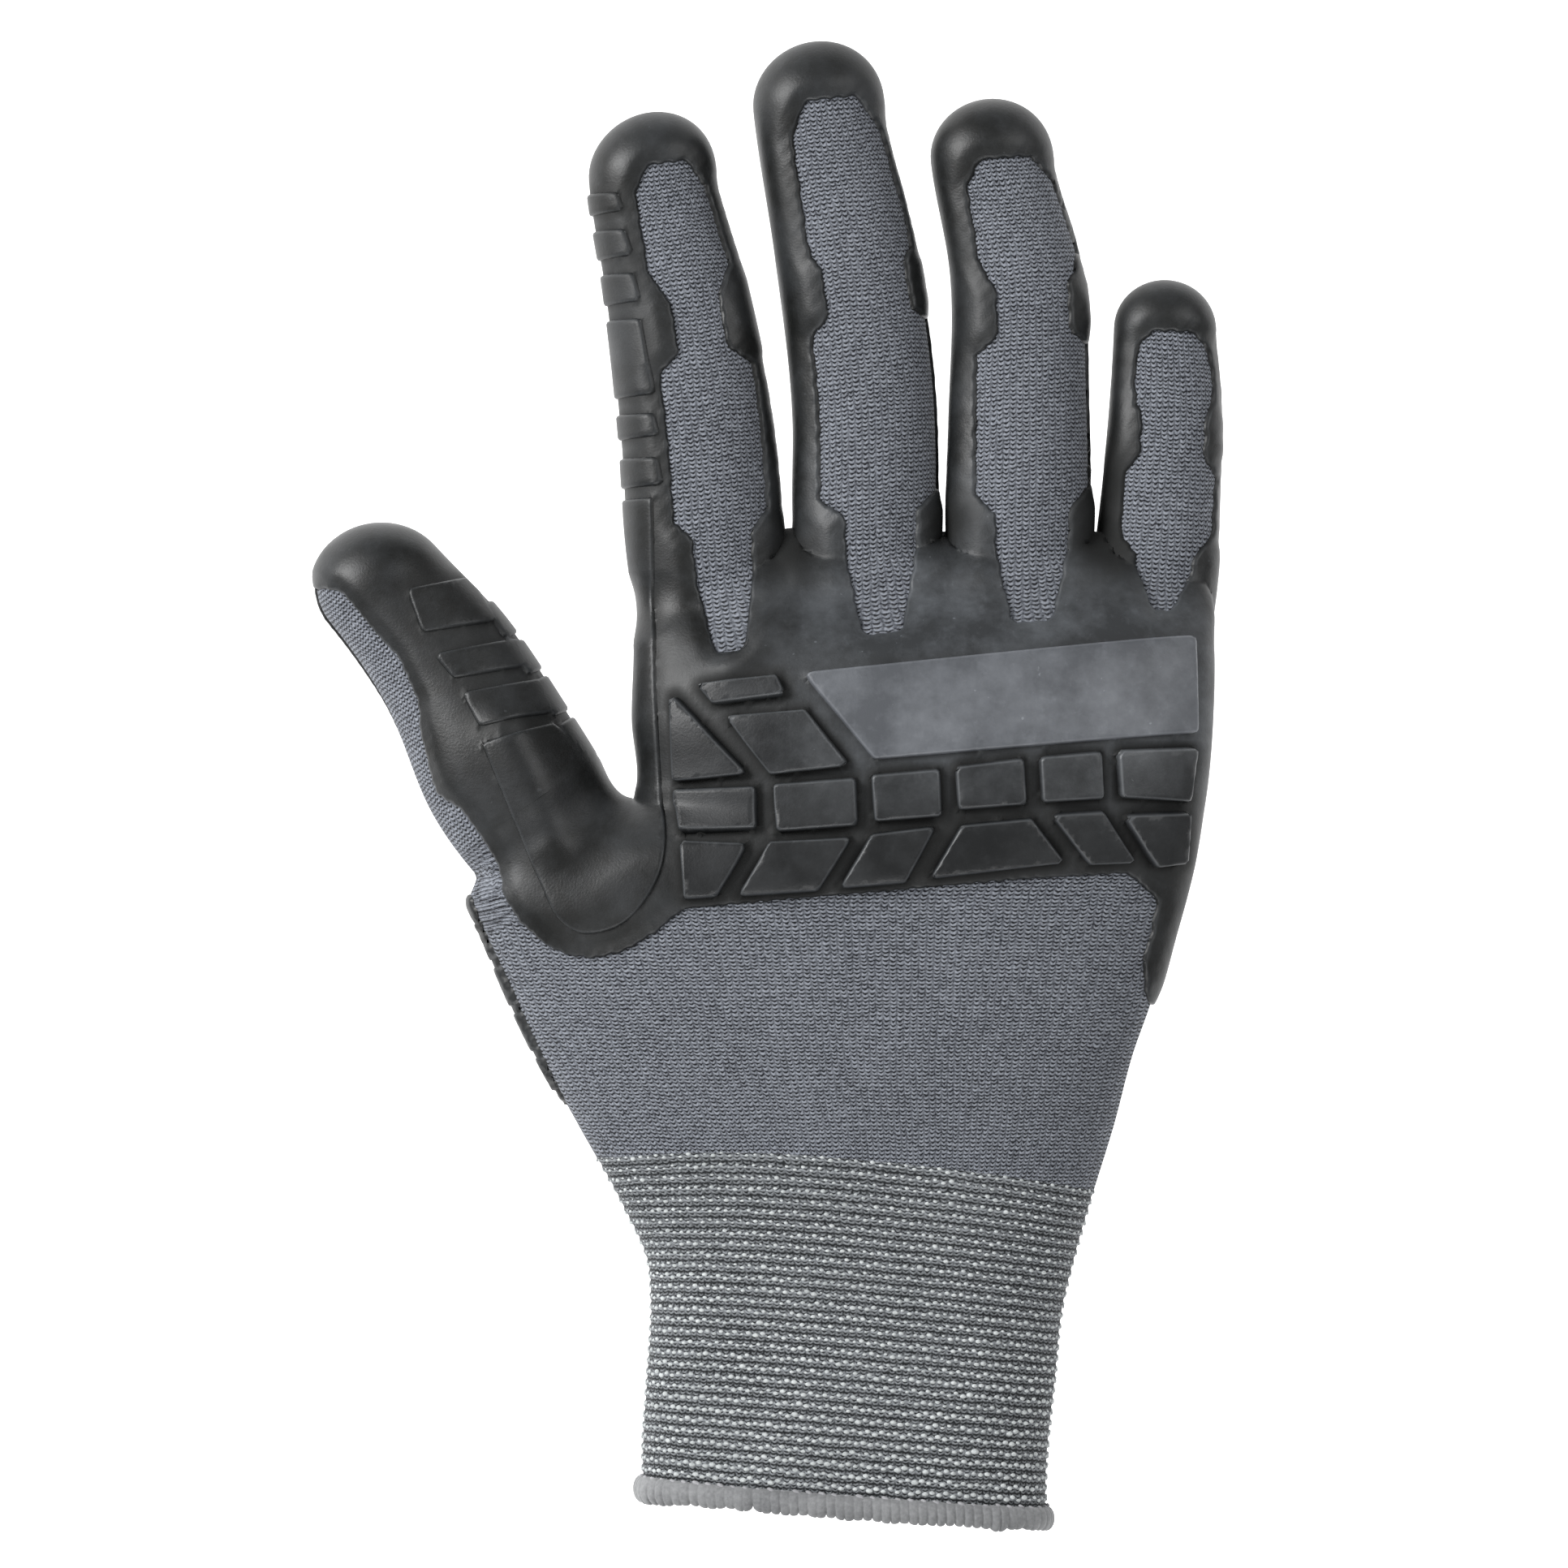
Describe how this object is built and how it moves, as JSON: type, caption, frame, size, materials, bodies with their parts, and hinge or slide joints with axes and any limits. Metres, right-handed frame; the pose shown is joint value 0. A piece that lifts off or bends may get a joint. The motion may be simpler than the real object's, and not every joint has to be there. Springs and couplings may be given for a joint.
{
  "type": "work glove",
  "caption": "Right-hand work glove: knitted liner with an elastic cuff under a moulded rubber overlay with a treaded knuckle pad; fingers, thumb and wrist fold.",
  "frame": {"origin": "middle of the glove's outline, on the surface that the palm's tread rests on", "axes": "+Y towards the fingertips, +Z out of the back of the hand, +X towards the little finger"},
  "size_m": [0.1531, 0.2502, 0.0353],
  "materials": {
    "liner_knit": "fine blue-grey stockinette knit",
    "cuff_knit": "green-grey knit",
    "elastic_thread": "white elastic thread",
    "hem_thread": "grey overlock stitching",
    "overlay_rubber": "matt moulded rubber",
    "pad_rubber": "matt moulded rubber with worn edges"
  },
  "bodies": {
    "hand": {"heel_rubber": "overlay_rubber", "index_root_knit": "liner_knit", "index_root_rubber": "overlay_rubber", "knuckle_bar": "pad_rubber", "knuckle_blocks": "pad_rubber", "knuckle_pad": "pad_rubber", "little_root_knit": "liner_knit", "little_root_rubber": "overlay_rubber", "lower_hand_knit": "liner_knit", "middle_root_knit": "liner_knit", "middle_root_rubber": "overlay_rubber", "palm_rubber": "overlay_rubber", "palm_tread": "pad_rubber", "ring_root_knit": "liner_knit", "ring_root_rubber": "overlay_rubber", "thumb_root_knit": "liner_knit", "thumb_root_rubber": "overlay_rubber", "thumb_saddle": "pad_rubber", "upper_hand_knit": "liner_knit"},
    "cuff": {"cuff_elastic": "elastic_thread", "cuff_hem": "hem_thread", "cuff_knit": "cuff_knit"},
    "index_base": {"index_base_knit": "liner_knit", "index_base_rubber": "overlay_rubber", "index_base_side_blocks": "pad_rubber"},
    "index_mid": {"index_mid_knit": "liner_knit", "index_mid_rubber": "overlay_rubber", "index_mid_side_blocks": "pad_rubber"},
    "index_tip": {"index_tip_knit": "liner_knit", "index_tip_rubber": "overlay_rubber", "index_tip_side_blocks": "pad_rubber"},
    "middle_base": {"middle_base_knit": "liner_knit", "middle_base_rubber": "overlay_rubber"},
    "middle_mid": {"middle_mid_knit": "liner_knit", "middle_mid_rubber": "overlay_rubber"},
    "middle_tip": {"middle_tip_knit": "liner_knit", "middle_tip_rubber": "overlay_rubber"},
    "ring_base": {"ring_base_knit": "liner_knit", "ring_base_rubber": "overlay_rubber"},
    "ring_mid": {"ring_mid_knit": "liner_knit", "ring_mid_rubber": "overlay_rubber"},
    "ring_tip": {"ring_tip_knit": "liner_knit", "ring_tip_rubber": "overlay_rubber"},
    "little_base": {"little_base_knit": "liner_knit", "little_base_rubber": "overlay_rubber"},
    "little_mid": {"little_mid_knit": "liner_knit", "little_mid_rubber": "overlay_rubber"},
    "little_tip": {"little_tip_knit": "liner_knit", "little_tip_rubber": "overlay_rubber"},
    "thumb_base": {"thumb_base_knit": "liner_knit", "thumb_base_pads": "pad_rubber", "thumb_base_rubber": "overlay_rubber"},
    "thumb_tip": {"thumb_tip_knit": "liner_knit", "thumb_tip_pad": "pad_rubber", "thumb_tip_rubber": "overlay_rubber"}
  },
  "joints": [
    {"name": "wrist_fold", "type": "hinge", "parent": "hand", "child": "cuff", "pos_m": [0.0145, -0.072, 0.0162], "axis": [1, 0, 0], "range_deg": [-25, 25], "stiffness_Nm_per_rad": 0.4},
    {"name": "index_base_fold", "type": "hinge", "parent": "hand", "child": "index_base", "pos_m": [-0.0109, 0.043, 0.0004], "axis": [-0.9982, -0.0592, 0], "range_deg": [0, 80], "stiffness_Nm_per_rad": 0.1},
    {"name": "index_mid_fold", "type": "hinge", "parent": "index_base", "child": "index_mid", "pos_m": [-0.012, 0.0575, 0.0004], "axis": [-0.9936, -0.1125, 0], "range_deg": [0, 85], "stiffness_Nm_per_rad": 0.1},
    {"name": "index_tip_fold", "type": "hinge", "parent": "index_mid", "child": "index_tip", "pos_m": [-0.016, 0.084, 0.0004], "axis": [-0.9885, -0.1514, 0], "range_deg": [0, 55], "stiffness_Nm_per_rad": 0.1},
    {"name": "middle_base_fold", "type": "hinge", "parent": "hand", "child": "middle_base", "pos_m": [0.0166, 0.047, 0.0004], "axis": [-1, 0.0031, 0], "range_deg": [0, 80], "stiffness_Nm_per_rad": 0.1},
    {"name": "middle_mid_fold", "type": "hinge", "parent": "middle_base", "child": "middle_mid", "pos_m": [0.0164, 0.0625, 0.0004], "axis": [-0.9977, -0.0679, 0], "range_deg": [0, 85], "stiffness_Nm_per_rad": 0.1},
    {"name": "middle_tip_fold", "type": "hinge", "parent": "middle_mid", "child": "middle_tip", "pos_m": [0.013, 0.09, 0.0004], "axis": [-0.99, -0.1408, 0], "range_deg": [0, 55], "stiffness_Nm_per_rad": 0.1},
    {"name": "ring_base_fold", "type": "hinge", "parent": "hand", "child": "ring_base", "pos_m": [0.0425, 0.047, 0.0004], "axis": [-1, 0.0099, 0], "range_deg": [0, 80], "stiffness_Nm_per_rad": 0.1},
    {"name": "ring_mid_fold", "type": "hinge", "parent": "ring_base", "child": "ring_mid", "pos_m": [0.0426, 0.061, 0.0004], "axis": [-1, -0.0082, 0], "range_deg": [0, 85], "stiffness_Nm_per_rad": 0.1},
    {"name": "ring_tip_fold", "type": "hinge", "parent": "ring_mid", "child": "ring_tip", "pos_m": [0.042, 0.0865, 0.0004], "axis": [-0.995, -0.1001, 0], "range_deg": [0, 55], "stiffness_Nm_per_rad": 0.1},
    {"name": "little_base_fold", "type": "hinge", "parent": "hand", "child": "little_base", "pos_m": [0.0658, 0.0375, 0.0004], "axis": [-0.9957, 0.0924, 0], "range_deg": [0, 80], "stiffness_Nm_per_rad": 0.1},
    {"name": "little_mid_fold", "type": "hinge", "parent": "little_base", "child": "little_mid", "pos_m": [0.0666, 0.0485, 0.0004], "axis": [-0.9982, 0.0605, 0], "range_deg": [0, 85], "stiffness_Nm_per_rad": 0.1},
    {"name": "little_tip_fold", "type": "hinge", "parent": "little_mid", "child": "little_tip", "pos_m": [0.0674, 0.065, 0.0004], "axis": [-0.9997, 0.0242, 0], "range_deg": [0, 55], "stiffness_Nm_per_rad": 0.1},
    {"name": "thumb_base_fold", "type": "hinge", "parent": "hand", "child": "thumb_base", "pos_m": [-0.0453, 0.002, 0.0004], "axis": [-0.8978, -0.4403, 0], "range_deg": [0, 50], "stiffness_Nm_per_rad": 0.1},
    {"name": "thumb_tip_fold", "type": "hinge", "parent": "thumb_base", "child": "thumb_tip", "pos_m": [-0.0548, 0.0215, 0.0004], "axis": [-0.8288, -0.5595, 0], "range_deg": [0, 70], "stiffness_Nm_per_rad": 0.1}
  ],
  "couplings": [
    {"joint": "index_tip_fold", "follows": "index_mid_fold", "ratio": 0.6},
    {"joint": "middle_tip_fold", "follows": "middle_mid_fold", "ratio": 0.6},
    {"joint": "ring_tip_fold", "follows": "ring_mid_fold", "ratio": 0.6},
    {"joint": "little_tip_fold", "follows": "little_mid_fold", "ratio": 0.6}
  ]
}
